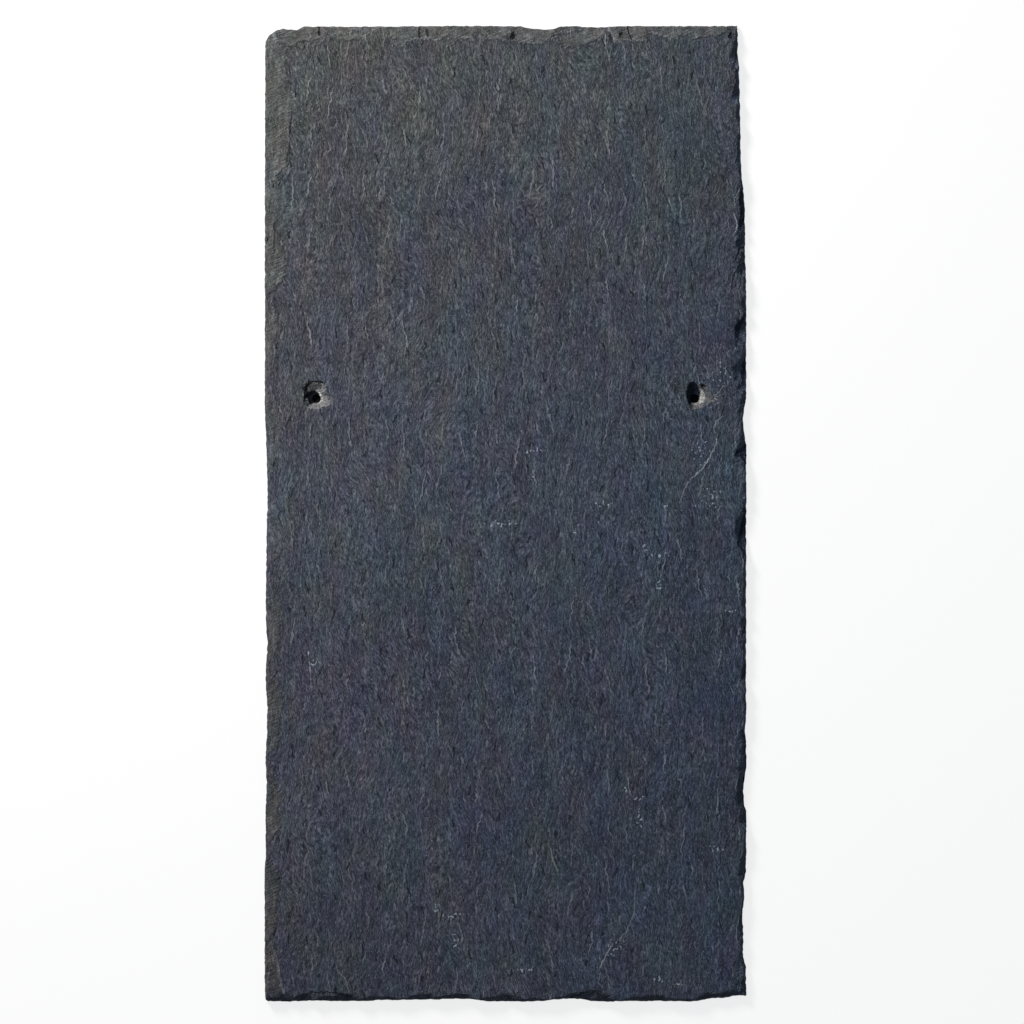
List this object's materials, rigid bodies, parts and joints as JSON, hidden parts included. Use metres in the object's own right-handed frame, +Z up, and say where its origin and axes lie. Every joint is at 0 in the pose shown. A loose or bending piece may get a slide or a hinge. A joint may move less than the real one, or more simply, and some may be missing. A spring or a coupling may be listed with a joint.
{
  "type": "slate roof tile",
  "caption": "Rectangular natural roof slate, riven flat, with knife-trimmed flaked edges and two punched nail holes near its middle.",
  "frame": {"origin": "middle of the bed, the underside that lies on the slates or battens below", "axes": "+Y along the slate's length towards the head, +X across it to the right as seen from above, +Z up out of the weathering face"},
  "size_m": [0.247, 0.5, 0.006],
  "materials": {
    "slate_stone": "matt riven blue-grey stone"
  },
  "bodies": {
    "root": {"slate": "slate_stone"}
  },
  "joints": []
}
